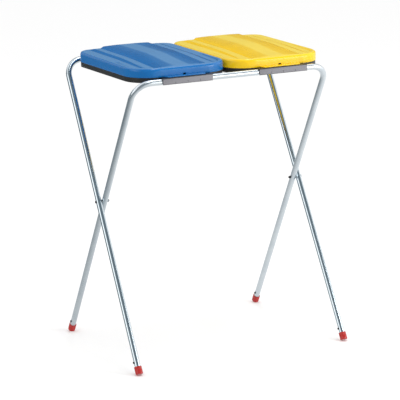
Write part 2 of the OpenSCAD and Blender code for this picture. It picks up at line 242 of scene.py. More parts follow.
def lathe(profile: list[Point2], turn: Matrix, steps: int = 48) -> bmesh.types.BMesh:
    """Spin a profile round the local Z axis.

    Args:
        profile: Points as (radius, height), from one end on the axis to the other.
        turn: Matrix that places the spun shape.
        steps: Number of facets around.

    Returns:
        A closed bmesh.
    """
    mesh = bmesh.new()
    rings = [turned_ring(mesh, radius, height, steps) for radius, height in profile if radius > 0.0]
    bridge(mesh, rings, closed=False)
    for ring, end in ((rings[0], profile[0]), (rings[-1], profile[-1])):
        if end[0] <= 0.0:
            tip = mesh.verts.new((0.0, 0.0, end[1]))
            for k in range(steps):
                mesh.faces.new((ring[k], ring[(k + 1) % steps], tip))
        else:
            mesh.faces.new(ring)
    mesh.transform(turn)
    return mesh


def extruded(outline: list[Point2], x_low: float, x_high: float) -> bmesh.types.BMesh:
    """Extrude an outline in the Y-Z plane along X.

    Args:
        outline: Closed outline as (y, z).
        x_low: Where the solid starts.
        x_high: Where it ends.

    Returns:
        A closed bmesh.
    """
    mesh = bmesh.new()
    close_prism(mesh, [[mesh.verts.new((x, y, z)) for y, z in outline] for x in (x_low, x_high)])
    return mesh


def apply_modifiers(piece: bpy.types.Object) -> None:
    """Apply every modifier of a piece to its mesh."""
    graph = bpy.context.evaluated_depsgraph_get()
    done = bpy.data.meshes.new_from_object(piece.evaluated_get(graph))
    old = piece.data
    piece.modifiers.clear()
    piece.data = done
    bpy.data.meshes.remove(old)


def soften(piece: bpy.types.Object, width: float, segments: int = 2) -> None:
    """Bevel the sharp edges of a piece and apply the result."""
    bevel = piece.modifiers.new("edge", "BEVEL")
    bevel.width = width
    bevel.segments = segments
    bevel.limit_method = "ANGLE"
    bevel.angle_limit = math.radians(40.0)
    bevel.harden_normals = False
    apply_modifiers(piece)


def combine(piece: bpy.types.Object, tool: bpy.types.Object, operation: str) -> None:
    """Add a solid to a piece or cut it away, and remove the tool object.

    Args:
        piece: The piece that is changed.
        tool: The solid that is used.
        operation: UNION or DIFFERENCE.
    """
    boolean = piece.modifiers.new(operation.lower(), "BOOLEAN")
    boolean.operation = operation
    boolean.solver = "EXACT"
    boolean.object = tool
    apply_modifiers(piece)
    data = tool.data
    bpy.data.objects.remove(tool)
    bpy.data.meshes.remove(data)


def crease(piece: bpy.types.Object, smooth_angle: float = 35.0) -> None:
    """Shade a finished piece smooth, with creases sharper than an angle left sharp."""
    mesh = bmesh.new()
    mesh.from_mesh(piece.data)
    shade(mesh, smooth_angle)
    mesh.to_mesh(piece.data)
    mesh.free()


# ---------------------------------------------------------------- shader effects


class EffectGroup:
    """Builds one shader node group with named inputs and outputs."""

    def __init__(self, name: str) -> None:
        """Start an empty group.

        Args:
            name: Name of the group.
        """
        self.tree = bpy.data.node_groups.new(name, "ShaderNodeTree")
        self.inside = self.tree.nodes.new("NodeGroupInput")
        self.outside = self.tree.nodes.new("NodeGroupOutput")

    def socket(self, name: str, kind: str, way: str, default: float | None = None) -> None:
        """Add a socket to the group.

        Args:
            name: Name of the socket.
            kind: Blender's socket type name.
            way: INPUT or OUTPUT.
            default: Value of a float input, if it has one.
        """
        made = self.tree.interface.new_socket(name=name, in_out=way, socket_type=kind)
        if default is not None:
            made.default_value = default

    def node(self, kind: str, **settings: object) -> bpy.types.ShaderNode:
        """Add a node and set its properties."""
        made = self.tree.nodes.new(kind)
        for key, value in settings.items():
            setattr(made, key, value)
        return made

    def link(self, source: bpy.types.NodeSocket, target: bpy.types.NodeSocket) -> None:
        """Join two sockets."""
        self.tree.links.new(source, target)

    def maths(self, operation: str, *values: object) -> bpy.types.NodeSocket:
        """Add a math node.

        Args:
            operation: The math node's operation.
            values: Numbers or sockets for its inputs.

        Returns:
            The output socket.
        """
        made = self.node("ShaderNodeMath", operation=operation)
        for slot, value in zip(made.inputs, values):
            if isinstance(value, (int, float)):
                slot.default_value = value
            else:
                self.link(value, slot)
        return made.outputs[0]

    def noise(self, vector: bpy.types.NodeSocket, scale: float | bpy.types.NodeSocket, detail: float,
              roughness: float = 0.5) -> bpy.types.NodeSocket:
        """Add a noise texture and return its factor.

        Args:
            vector: Socket with the place to look up.
            scale: Scale, as a number or a socket.
            detail: Number of octaves.
            roughness: How much each octave adds.

        Returns:
            The factor socket.
        """
        made = self.node("ShaderNodeTexNoise")
        made.inputs["Detail"].default_value = detail
        made.inputs["Roughness"].default_value = roughness
        self.link(vector, made.inputs["Vector"])
        if isinstance(scale, float):
            made.inputs["Scale"].default_value = scale
        else:
            self.link(scale, made.inputs["Scale"])
        return made.outputs["Fac"]


def moulded_grain_group() -> bpy.types.ShaderNodeTree:
    """Build the grain of moulded plastic: fine pits and faint flow clouds.

    Returns:
        The node group, with outputs Height and Cloud.
    """
    group = EffectGroup("moulded grain")
    group.socket("Pit Size", "NodeSocketFloat", "INPUT", 1400.0)
    group.socket("Cloud Size", "NodeSocketFloat", "INPUT", 9.0)
    for name in ("Height", "Cloud"):
        group.socket(name, "NodeSocketFloat", "OUTPUT")
    place_at = group.node("ShaderNodeTexCoord").outputs["Object"]
    sizes = group.inside.outputs
    group.link(group.noise(place_at, sizes["Pit Size"], 2.0), group.outside.inputs["Height"])
    group.link(group.noise(place_at, sizes["Cloud Size"], 3.0, 0.55), group.outside.inputs["Cloud"])
    return group.tree


def drawn_metal_group() -> bpy.types.ShaderNodeTree:
    """Build the lines that drawing leaves along a tube, from its UV map.

    Returns:
        The node group, with outputs Lines and Cloud.
    """
    stretch, cloud_size = 1.4, 22.0
    group = EffectGroup("drawn metal")
    group.socket("Line Count", "NodeSocketFloat", "INPUT", 26.0)
    for name in ("Lines", "Cloud"):
        group.socket(name, "NodeSocketFloat", "OUTPUT")
    count = group.inside.outputs["Line Count"]
    parts = group.node("ShaderNodeSeparateXYZ")
    group.link(group.node("ShaderNodeUVMap", uv_map=TUBE_UV).outputs["UV"], parts.inputs["Vector"])
    angle = group.maths("MULTIPLY", parts.outputs["Y"], math.tau)
    joined = group.node("ShaderNodeCombineXYZ")
    group.link(group.maths("MULTIPLY", group.maths("COSINE", angle), count), joined.inputs["X"])
    group.link(group.maths("MULTIPLY", group.maths("SINE", angle), count), joined.inputs["Y"])
    group.link(group.maths("MULTIPLY", parts.outputs["X"], stretch), joined.inputs["Z"])
    solid = group.node("ShaderNodeTexCoord").outputs["Object"]
    group.link(group.noise(joined.outputs["Vector"], 1.0, 4.0), group.outside.inputs["Lines"])
    group.link(group.noise(solid, cloud_size, 4.0), group.outside.inputs["Cloud"])
    return group.tree


class Dresser:
    """Node tree of one material, with a Principled shader already wired."""

    def __init__(self, name: str) -> None:
        """Make the material.

        Args:
            name: Name of the material.
        """
        self.material = bpy.data.materials.new(name)
        self.material.use_nodes = True
        self.tree = self.material.node_tree
        self.tree.nodes.clear()
        self.shader = self.tree.nodes.new("ShaderNodeBsdfPrincipled")
        output = self.tree.nodes.new("ShaderNodeOutputMaterial")
        self.tree.links.new(self.shader.outputs["BSDF"], output.inputs["Surface"])

    def effect(self, group: bpy.types.ShaderNodeTree, **values: float) -> bpy.types.ShaderNode:
        """Place an effect group and set its inputs."""
        made = self.tree.nodes.new("ShaderNodeGroup")
        made.node_tree = group
        for key, value in values.items():
            made.inputs[key.replace("_", " ")].default_value = value
        return made

    def spread(self, source: bpy.types.NodeSocket, low: float, high: float) -> bpy.types.NodeSocket:
        """Map a 0.3 to 0.7 mask onto a range.

        Args:
            source: Mask socket.
            low: Value where the mask is low.
            high: Value where it is high.

        Returns:
            The mapped value socket.
        """
        ramp = self.tree.nodes.new("ShaderNodeMapRange")
        ramp.inputs["From Min"].default_value = 0.3
        ramp.inputs["From Max"].default_value = 0.7
        ramp.inputs["To Min"].default_value = low
        ramp.inputs["To Max"].default_value = high
        self.tree.links.new(source, ramp.inputs["Value"])
        return ramp.outputs["Result"]

    def blend(self, factor: bpy.types.NodeSocket, low: object, high: object) -> bpy.types.NodeSocket:
        """Mix two colours by a factor.

        Args:
            factor: Factor socket.
            low: Colour or socket at factor 0.
            high: Colour or socket at factor 1.

        Returns:
            The colour socket.
        """
        mix = self.tree.nodes.new("ShaderNodeMix")
        mix.data_type = "RGBA"
        self.tree.links.new(factor, mix.inputs["Factor"])
        self.put(mix.inputs["A"], low)
        self.put(mix.inputs["B"], high)
        return mix.outputs["Result"]

    def clouded(self, effect: bpy.types.ShaderNode, dark: Colour, colour: Colour) -> bpy.types.NodeSocket:
        """Mix a finish's two colours by its clouds."""
        return self.blend(self.spread(effect.outputs["Cloud"], 0.0, 1.0), dark, colour)

    def put(self, slot: bpy.types.NodeSocket, value: object) -> None:
        """Set a socket from a number, a colour or another socket."""
        if isinstance(value, bpy.types.NodeSocket):
            self.tree.links.new(value, slot)
        elif isinstance(value, tuple):
            slot.default_value = (*value, 1.0)
        else:
            slot.default_value = value

    def set(self, name: str, value: object) -> None:
        """Set an input of the shader."""
        self.put(self.shader.inputs[name], value)

    def bump(self, height: bpy.types.NodeSocket, distance: float, strength: float = 1.0) -> None:
        """Drive the normal from a height mask."""
        made = self.tree.nodes.new("ShaderNodeBump")
        made.inputs["Strength"].default_value = strength
        made.inputs["Distance"].default_value = distance
        self.tree.links.new(height, made.inputs["Height"])
        self.tree.links.new(made.outputs["Normal"], self.shader.inputs["Normal"])


# ---------------------------------------------------------------- finishes


@dataclass(frozen=True)
class MouldedPlastic:
    """Injection-moulded plastic with a fine grain, rougher and lighter where a mask says so: the lighter colour
    is painted sheen on the lids, and on the clips it is their own grey, with the darker base round it as
    painted shadow.
    """

    name: str
    colour: Colour
    shade: Colour
    roughness: float = 0.34
    grain_depth: float = 0.000004
    specular: float = 0.5
    lit_colour: Colour | None = None
    land_roughness: float = 0.45

    def make(self, grain: bpy.types.ShaderNodeTree) -> bpy.types.Material:
        """Build the material.

        Args:
            grain: The moulded grain group.

        Returns:
            The material.
        """
        dresser = Dresser(self.name)
        effect = dresser.effect(grain)
        base = dresser.clouded(effect, self.shade, self.colour)
        rough = dresser.spread(effect.outputs["Cloud"], self.roughness - 0.04, self.roughness + 0.05)
        # Where the mask is set, the colour turns to the lit colour and the roughness rises. The lit colour is
        # painted sheen on the lids and the clips' own grey face.
        if self.lit_colour is not None:
            mask = dresser.tree.nodes.new("ShaderNodeAttribute")
            mask.attribute_name = PAINTED_LIGHT_MASK
            base = dresser.blend(mask.outputs["Fac"], base, self.lit_colour)
            land = dresser.tree.nodes.new("ShaderNodeMapRange")
            dresser.tree.links.new(mask.outputs["Fac"], land.inputs["Value"])
            dresser.tree.links.new(rough, land.inputs["To Min"])
            land.inputs["To Max"].default_value = self.land_roughness
            rough = land.outputs["Result"]
        dresser.set("Base Color", base)
        dresser.set("Roughness", rough)
        dresser.set("Specular IOR Level", self.specular)
        dresser.bump(effect.outputs["Height"], self.grain_depth)
        return dresser.material


@dataclass(frozen=True)
class PlatedTube:
    """Bright zinc-plated tube with faint drawing lines."""

    name: str
    colour: Colour = (0.66, 0.72, 0.75)
    shade: Colour = (0.56, 0.63, 0.67)
    roughness: float = 0.14

    def make(self, drawn: bpy.types.ShaderNodeTree) -> bpy.types.Material:
        """Build the material.

        Args:
            drawn: The drawn metal group.

        Returns:
            The material.
        """
        dresser = Dresser(self.name)
        effect = dresser.effect(drawn)
        dresser.set("Base Color", dresser.clouded(effect, self.shade, self.colour))
        dresser.set("Metallic", 1.0)
        dresser.set("Roughness", dresser.spread(effect.outputs["Lines"], self.roughness - 0.05,
                                                self.roughness + 0.08))
        dresser.bump(effect.outputs["Lines"], 0.00003, 0.6)
        return dresser.material


@dataclass(frozen=True)
class Hardware:
    """Plated or blackened fasteners."""

    name: str
    colour: Colour
    shade: Colour
    roughness: float
    metallic: float

    def make(self, grain: bpy.types.ShaderNodeTree) -> bpy.types.Material:
        """Build the material.

        Args:
            grain: The moulded grain group, used for tarnish.

        Returns:
            The material.
        """
        dresser = Dresser(self.name)
        effect = dresser.effect(grain, Pit_Size=2400.0, Cloud_Size=160.0)
        dresser.set("Base Color", dresser.clouded(effect, self.shade, self.colour))
        dresser.set("Metallic", self.metallic)
        dresser.set("Roughness", dresser.spread(effect.outputs["Height"], self.roughness - 0.06,
                                                self.roughness + 0.06))
        dresser.bump(effect.outputs["Height"], 0.00002, 0.5)
        return dresser.material


@dataclass
class Finishes:
    """Every material of the stand, built once."""

    outer_tube: bpy.types.Material = field(init=False)
    inner_tube: bpy.types.Material = field(init=False)
    cap: bpy.types.Material = field(init=False)
    rivet: bpy.types.Material = field(init=False)
    zinc: bpy.types.Material = field(init=False)
    ring: bpy.types.Material = field(init=False)
    clip: bpy.types.Material = field(init=False)
    lids: dict[Side, bpy.types.Material] = field(init=False)

    def __post_init__(self) -> None:
        """Build the effect groups and the materials that use them."""
        grain = moulded_grain_group()
        drawn = drawn_metal_group()
        self.outer_tube = PlatedTube("bright plated tube").make(drawn)
        self.inner_tube = PlatedTube("satin plated tube", (0.80, 0.84, 0.86), (0.70, 0.75, 0.79),
                                     0.3).make(drawn)
        self.cap = MouldedPlastic("red cap plastic", (0.46, 0.022, 0.017), (0.38, 0.016, 0.014),
                                  0.24).make(grain)
        self.rivet = Hardware("dark rivet", (0.06, 0.06, 0.065), (0.03, 0.03, 0.035), 0.35, 0.8).make(grain)
        self.zinc = Hardware("zinc hardware", (0.66, 0.67, 0.68), (0.5, 0.52, 0.54), 0.28, 1.0).make(grain)
        self.ring = MouldedPlastic("black ring plastic", (0.022, 0.021, 0.02), (0.014, 0.013, 0.012),
                                   0.42).make(grain)
        # The clip's near-black colours are painted shadow along the top and bottom of its face and on its other
        # sides; its lit colour is its own grey.
        self.clip = MouldedPlastic("grey clip plastic", (0.012, 0.012, 0.013), (0.009, 0.009, 0.01), 0.38,
                                   lit_colour=(0.20, 0.195, 0.215), land_roughness=0.42).make(grain)
        # The lids' lit colours are painted sheen: a lighter colour on the flat lands of their tops.
        self.lids = {
            Side.LEFT: MouldedPlastic("blue lid plastic", (0.001, 0.140, 0.42), (0.001, 0.128, 0.39), 0.24,
                                      lit_colour=(0.075, 0.225, 0.45), land_roughness=0.5).make(grain),
            Side.RIGHT: MouldedPlastic("yellow lid plastic", (0.88, 0.57, 0.002), (0.86, 0.54, 0.002), 0.24,
                                       lit_colour=(0.78, 0.59, 0.06), land_roughness=0.5).make(grain),
        }


def place(piece: bpy.types.Object, body: str, material: bpy.types.Material, slot: str, *nodes: str) -> None:
    """Dress a piece and tie it to the frame.

    Args:
        piece: The finished piece.
        body: Body that it rides on.
        material: Its material.
        slot: Name of the record's material slot; not used.
        nodes: CAD nodes that it stands for.
    """
    piece.data.materials.clear()
    piece.data.materials.append(material)
    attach(piece, body)
    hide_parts(*nodes)
    LOG.info("%s rides on %s, %d faces", piece.name, body, len(piece.data.polygons))


# ---------------------------------------------------------------- frames


@dataclass
class TubeFrame:
    """One bent tube: a bar along X with a leg at each end."""

    node: str
    leaning: Leaning
    pivot_z: float
    tube_r: float = 9.5 * MM
    wall: float = 1.2 * MM
    plug_depth: float = 6.0 * MM
    bend_r: float = 57.0 * MM
    splay: float = math.radians(0.6)
    around: int = 48
    bend_steps: int = 20
    leg_steps: int = 60
    bar_y: float = field(init=False)
    bar_z: float = field(init=False)
    lean: float = field(init=False)
    half_w: float = field(init=False)
    leg_len: float = field(init=False)

    def __post_init__(self) -> None:
        """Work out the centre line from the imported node's box."""
        low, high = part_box(self.node)
        to_front = self.leaning is Leaning.TO_FRONT
        self.bar_z = high[2] - self.tube_r
        self.bar_y = high[1] - self.tube_r if to_front else low[1] + self.tube_r
        self.lean = math.atan2(abs(self.bar_y), self.bar_z - self.pivot_z)
        end_z = low[2] + self.tube_r * math.sin(self.lean)
        self.leg_len = (self.bar_z - end_z) / math.cos(self.lean) / math.cos(self.splay)
        self.half_w = high[0] - self.tube_r * math.cos(self.splay) - self.leg_len * math.sin(self.splay)

    def in_space(self, across: float, down: float) -> Vector:
        """Point of the frame's plane, from its place across and down from the bar."""
        run = down * math.sin(self.lean) * self.leaning.value
        return Vector((across, self.bar_y + run, self.bar_z - down * math.cos(self.lean)))

    def right_half(self) -> list[Point2]:
        """Centre line from the middle of the bar to the right foot, as (across, down)."""
        turn = math.pi / 2 - self.splay
        tangent = self.bend_r * math.tan(turn / 2)
        start = self.half_w - tangent
        points = [(start * i / 8, 0.0) for i in range(8)]
        for i in range(self.bend_steps + 1):
            a = turn * i / self.bend_steps
            points.append((start + self.bend_r * math.sin(a), self.bend_r * (1 - math.cos(a))))
        for i in range(1, self.leg_steps + 1):
            s = tangent + (self.leg_len - tangent) * i / self.leg_steps
            points.append((self.half_w + s * math.sin(self.splay), s * math.cos(self.splay)))
        return points

    def build(self, material: bpy.types.Material) -> None:
        """Sweep the tube along its centre line and dress it."""
        right = self.right_half()
        path = [(-x, d) for x, d in reversed(right[1:])] + right
        spots = [self.in_space(*p) for p in path]
        normal = (self.in_space(1, 0) - self.in_space(0, 0)).cross(self.in_space(0, 1) - self.in_space(0, 0))
        normal.normalize()
        mesh = bmesh.new()
        uv = mesh.loops.layers.uv.new(TUBE_UV)
        rings, along, run = [], [], 0.0
        for i, spot in enumerate(spots):
            before = spots[max(i - 1, 0)]
            after = spots[min(i + 1, len(spots) - 1)]
            side = (after - before).normalized().cross(normal)
            run += (spot - before).length
            along.append(run)
            rings.append(self.ring(mesh, spot, normal, side))
        for i in range(len(rings) - 1):
            for k in range(self.around):
                j = (k + 1) % self.around
                face = mesh.faces.new((rings[i][k], rings[i][j], rings[i + 1][j], rings[i + 1][k]))
                turns = (k / self.around, (k + 1) / self.around)
                places = ((along[i], turns[0]), (along[i], turns[1]), (along[i + 1], turns[1]),
                          (along[i + 1], turns[0]))
                for loop, spot in zip(face.loops, places):
                    loop[uv].uv = spot
        for end, inner in ((0, 1), (-1, -2)):
            self.close_end(mesh, rings[end], spots[end], spots[end] - spots[inner])
        piece = new_object(f"{self.node}_tube", mesh, 60.0)
        place(piece, self.node, material, "tube_steel", self.node)

    def ring(self, mesh: bmesh.types.BMesh, spot: Vector, normal: Vector,
             side: Vector) -> list[bmesh.types.BMVert]:
        """Add one ring of vertices round the centre line."""
        radius = self.tube_r
        angles = [math.tau * k / self.around for k in range(self.around)]
        return [mesh.verts.new(spot + normal * (radius * math.cos(a)) + side * (radius * math.sin(a)))
                for a in angles]

    def close_end(self, mesh: bmesh.types.BMesh, rim: list[bmesh.types.BMVert], spot: Vector,
                  outward: Vector) -> None:
        """Turn the cut end of the tube inwards by its wall and plug it a little deeper."""
        centre_out = outward.normalized()
        inner_scale = 1.0 - self.wall / self.tube_r
        inner = [mesh.verts.new(spot + (v.co - spot) * inner_scale) for v in rim]
        deep = [mesh.verts.new(v.co - centre_out * self.plug_depth) for v in inner]
        bridge(mesh, [rim, inner, deep], closed=False)
        mesh.faces.new(deep)


# ---------------------------------------------------------------- feet


@dataclass
class FootCap:
    """A push-on foot cap, square to its leg, with a flat for the floor."""

    node: str
    body: str
    frame: TubeFrame
    side: Side
    radius: float = 12.0 * MM
    length: float = 25.0 * MM
    floor_t: float = 4.0 * MM
    edge_r: float = 2.5 * MM
    band_h: float = 6.0 * MM
    groove_d: float = 0.35 * MM
    rivet_above: float = 14.0 * MM

    def leg_matrix(self) -> Matrix:
        """Place of the tube's cut end, with local Z up the leg."""
        end = self.frame.right_half()[-1]
        before = self.frame.right_half()[-2]
        sign = self.side.value
        foot = self.frame.in_space(end[0] * sign, end[1])
        up = (self.frame.in_space(before[0] * sign, before[1]) - foot).normalized()
        across = Vector((1, 0, 0)) - up * up.x
        across.normalize()
        third = up.cross(across)
        turn = Matrix((across, third, up)).transposed().to_4x4()
        turn.translation = foot
        return turn

    def build(self, material: bpy.types.Material) -> None:
        """Spin the cap, cut its floor flat and dress it."""
        bottom, radius = -self.floor_t, self.radius
        top = bottom + self.length
        bore = self.frame.tube_r + 0.05 * MM
        lip, soft, edge, seat = 0.7 * MM, 0.5 * MM, 0.3 * MM, 0.2 * MM
        band_low = top - self.band_h
        groove = radius - self.groove_d
        profile = [(0.0, bottom)]
        profile += arc((radius - self.edge_r, bottom + self.edge_r), self.edge_r, -90, 0, 6)
        profile += [(radius, band_low - soft), (groove, band_low), (groove, band_low + soft),
                    (radius, band_low + 2 * soft), (radius, top - lip)]
        profile += arc((radius - lip, top - lip), lip, 0, 90, 3)[1:]
        profile += [(bore + edge, top), (bore, top - edge), (bore, seat), (0.0, seat)]
        mesh = lathe(profile, self.leg_matrix(), 56)
        geometry = mesh.verts[:] + mesh.edges[:] + mesh.faces[:]
        cut = bmesh.ops.bisect_plane(mesh, geom=geometry, plane_co=(0, 0, 0), plane_no=(0, 0, 1),
                                     clear_inner=True)
        edges = [g for g in cut["geom_cut"] if isinstance(g, bmesh.types.BMEdge)]
        bmesh.ops.contextual_create(mesh, geom=edges)
        piece = new_object(f"{self.node}_moulding", mesh)
        place(piece, self.body, material, "cap_red", self.node)

    def rivet(self, head_r: float, head_h: float, rim: float) -> bmesh.types.BMesh:
        """Make the rivet through the leg just above this cap.

        Args:
            head_r: Radius of the domed head.
            head_h: Its height over the tube.
            rim: Height of the straight rim under the dome.

        Returns:
            A closed bmesh with its head to the left.
        """
        half = self.frame.tube_r
        up = self.length - self.floor_t + self.rivet_above
        shank, soft, proud = 2.0 * MM, 0.2 * MM, 0.01 * MM
        head = [(shank, half - soft), (head_r - 0.25 * MM, half - soft), (head_r, half + soft)]
        head += dome(head_r, half + rim, head_h - rim, 8)
        flush = [(0.0, -half - proud), (shank - 0.3 * MM, -half - proud), (shank, -half + soft)]
        turn = self.leg_matrix() @ Matrix.Translation((0, 0, up)) @ Matrix.Rotation(-math.pi / 2, 4, "Y")
        return lathe(flush + head + [(0.0, half + head_h)], turn, 40)


@dataclass
class Feet:
    """The four foot caps and the rivets above them."""

    outer: TubeFrame
    inner: TubeFrame
    rivet_head_r: float = 3.75 * MM
    rivet_head_h: float = 3.4 * MM
    rivet_rim: float = 1.0 * MM

    def build(self, finishes: Finishes) -> None:
        """Build caps and rivets for both frames."""
        for where, tube, rivets in (("front", self.outer, "foot_rivets_outer"),
                                    ("rear", self.inner, "foot_rivets_inner")):
            joined = bmesh.new()
            for side in Side:
                cap = FootCap(f"foot_cap_{where}_{side.tag}", tube.node, tube, side)
                cap.build(finishes.cap)
                absorb(joined, cap.rivet(self.rivet_head_r, self.rivet_head_h, self.rivet_rim))
            piece = new_object(f"{rivets}_domed", joined)
            place(piece, tube.node, finishes.rivet, "rivet_dark", rivets)


# ---------------------------------------------------------------- pivots


@dataclass
class Pivot:
    """Bolt, spacer and cap nut where two legs cross."""

    side: Side
    bolt_r: float = 2.5 * MM
    head_h: float = 3.4 * MM
    head_rim: float = 1.0 * MM
    nut_h: float = 4.0 * MM
    chamfer: float = 0.5 * MM
    body: str = "outer_frame"

    def turned(self, x: float, z: float, outwards: bool) -> Matrix:
        """Matrix with local Z along the bolt, from a place on its axis."""
        sign = self.side.value if outwards else -self.side.value
        turn = Matrix.Rotation(sign * math.pi / 2, 4, "Y")
        return Matrix.Translation((x, 0.0, z)) @ turn

    def build(self, finishes: Finishes) -> None:
        """Build the three pieces, with the dark head on the left of both pivots."""
        is_left = self.side is Side.LEFT
        self.build_bolt(finishes.rivet if is_left else finishes.zinc)
        self.build_spacer(finishes.zinc)
        self.build_nut(finishes.zinc if is_left else finishes.rivet)

    def span(self, node: str) -> tuple[float, float, float, float]:
        """Inner and outer X of a node, its radius and its height."""
        low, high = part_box(f"{node}_{self.side.tag}")
        near, far = sorted((low[0], high[0]), key=abs)
        return near, far, (high[2] - low[2]) / 2, (high[2] + low[2]) / 2

    def build_bolt(self, material: bpy.types.Material) -> None:
        """Spin the bolt with its domed head."""
        near, far, head_r, z = self.span("pivot_bolt")
        length = abs(far - near)
        seat = length - self.head_h
        tip, edge = 0.4 * MM, 0.3 * MM
        profile = [(0.0, 0.0), (self.bolt_r - tip, 0.0), (self.bolt_r, tip), (self.bolt_r, seat),
                   (head_r - edge, seat), (head_r, seat + edge)]
        profile += dome(head_r, seat + self.head_rim, self.head_h - self.head_rim, 9) + [(0.0, length)]
        piece = new_object(f"pivot_bolt_{self.side.tag}_turned", lathe(profile, self.turned(near, z, True), 40))
        place(piece, self.body, material, "rivet_dark", f"pivot_bolt_{self.side.tag}")

    def build_spacer(self, material: bpy.types.Material) -> None:
        """Spin the washer between the legs."""
        near, far, radius, z = self.span("pivot_spacer")
        thick = abs(far - near)
        bore, edge = self.bolt_r + 0.05 * MM, 0.2 * MM
        section = [(bore, 0.0), (radius - edge, 0.0), (radius, edge), (radius, thick - edge),
                   (radius - edge, thick), (bore, thick)]
        mesh = bmesh.new()
        bridge(mesh, [turned_ring(mesh, r, h, 40) for r, h in section], closed=True)
        mesh.transform(self.turned(near, z, True))
        piece = new_object(f"pivot_spacer_{self.side.tag}_washer", mesh)
        place(piece, self.body, material, "zinc_hardware", f"pivot_spacer_{self.side.tag}")

    def build_nut(self, material: bpy.types.Material) -> None:
        """Build the hexagon with chamfered corners and spin its dome."""
        near, far, corner_r, z = self.span("pivot_nut")
        height = abs(far - near)
        inner_r, start = corner_r - self.chamfer, self.chamfer * 0.6
        levels = [(inner_r, 0.0), (corner_r, start), (corner_r, self.nut_h - start), (inner_r, self.nut_h)]
        turn = self.turned(far, z, False)
        mesh = bmesh.new()
        close_prism(mesh, [turned_ring(mesh, radius, level, 6, 0.5) for radius, level in levels])
        mesh.transform(turn)
        dome_r = height - self.nut_h
        root = self.nut_h - 0.6 * MM
        profile = [(0.0, root), (dome_r, root)] + dome(dome_r, self.nut_h, dome_r, 8) + [(0.0, height)]
        hexagon = new_object(f"pivot_nut_{self.side.tag}_acorn", mesh)
        combine(hexagon, new_object("nut_dome", lathe(profile, turn, 36)), "UNION")
        crease(hexagon)
        place(hexagon, self.body, material, "zinc_hardware", f"pivot_nut_{self.side.tag}")


# ---------------------------------------------------------------- shared outline


@dataclass
class Outline:
    """Plan outline that a lid and its ring share: a rectangle with round corners."""

    centre_x: float
    half_w: float
    front: float
    rear: float
    front_r: float = 85.0 * MM
    rear_r: float = 45.0 * MM

    def loop(self, inset: float, corner_steps: int = 16, side_step: float = 12.0 * MM) -> list[Point2]:
        """Closed outline at an inset, counter-clockwise from the front left.

        Args:
            inset: Distance inwards from the outline.
            corner_steps: Steps in each corner.
            side_step: Greatest step along a straight side.

        Returns:
            The points in the X-Y plane.
        """
        half, front, rear = self.half_w, self.front, self.rear
        rf, rr = self.front_r, self.rear_r
        x = self.centre_x
        corners = [((x - half + rf, front + rf), rf, 180, 270), ((x + half - rf, front + rf), rf, 270, 360),
                   ((x + half - rr, rear - rr), rr, 0, 90), ((x - half + rr, rear - rr), rr, 90, 180)]
        arcs = [arc(c, r - inset, a, b, corner_steps) for c, r, a, b in corners]
        points: list[Point2] = []
        for i, piece in enumerate(arcs):
            points += piece
            start, end = Vector(piece[-1]), Vector(arcs[(i + 1) % 4][0])
            count = max(1, round((end - start).length / side_step))
            points += [tuple(start.lerp(end, k / count)) for k in range(1, count)]
        return points


def sweep_outline(outline: Outline, section: list[Point2]) -> bmesh.types.BMesh:
    """Sweep a closed section round an outline.

    Args:
        outline: The plan outline.
        section: Closed section as (inset, z).

    Returns:
        A closed bmesh.
    """
    mesh = bmesh.new()
    rings = [[mesh.verts.new((x, y, z)) for x, y in outline.loop(inset)] for inset, z in section]
    bridge(mesh, rings, closed=True)
    return mesh


@dataclass
class BarHook:
    """A C-shaped hook that turns on the rear bar, with an arm to its ring or lid."""

    axis: Point2
    bore_r: float = 9.8 * MM
    wall: float = 3.5 * MM
    mouth: float = 76.0

    def outline(self, mouth_at: float, arm_start: float, arm_end: float, arm: list[Point2]) -> list[Point2]:
        """Outline of the hook in the Y-Z plane.

        Args:
            mouth_at: Direction of the mouth in degrees from +Y towards +Z.
            arm_start: Angle at which the arm leaves the outer arc.
            arm_end: Angle at which the arc goes on after the arm.
            arm: Corners of the arm between them, from the axis.

        Returns:
            The closed outline as (y, z).
        """
        outer = self.bore_r + self.wall
        first = mouth_at + self.mouth / 2
        last = mouth_at + 360 - self.mouth / 2
        points = arc(self.axis, outer, first, arm_start, 16)
        points += [(self.axis[0] + u, self.axis[1] + v) for u, v in arm]
        points += arc(self.axis, outer, arm_end, last, 10)
        points += arc(self.axis, self.bore_r, last, first, 36)
        return points

    def solid(self, outline: list[Point2], middle: float, width: float) -> bpy.types.Object:
        """Extrude a hook and soften its edges."""
        piece = new_object("hook", extruded(outline, middle - width / 2, middle + width / 2))
        soften(piece, 0.6 * MM)
        return piece


# ---------------------------------------------------------------- rings and clips


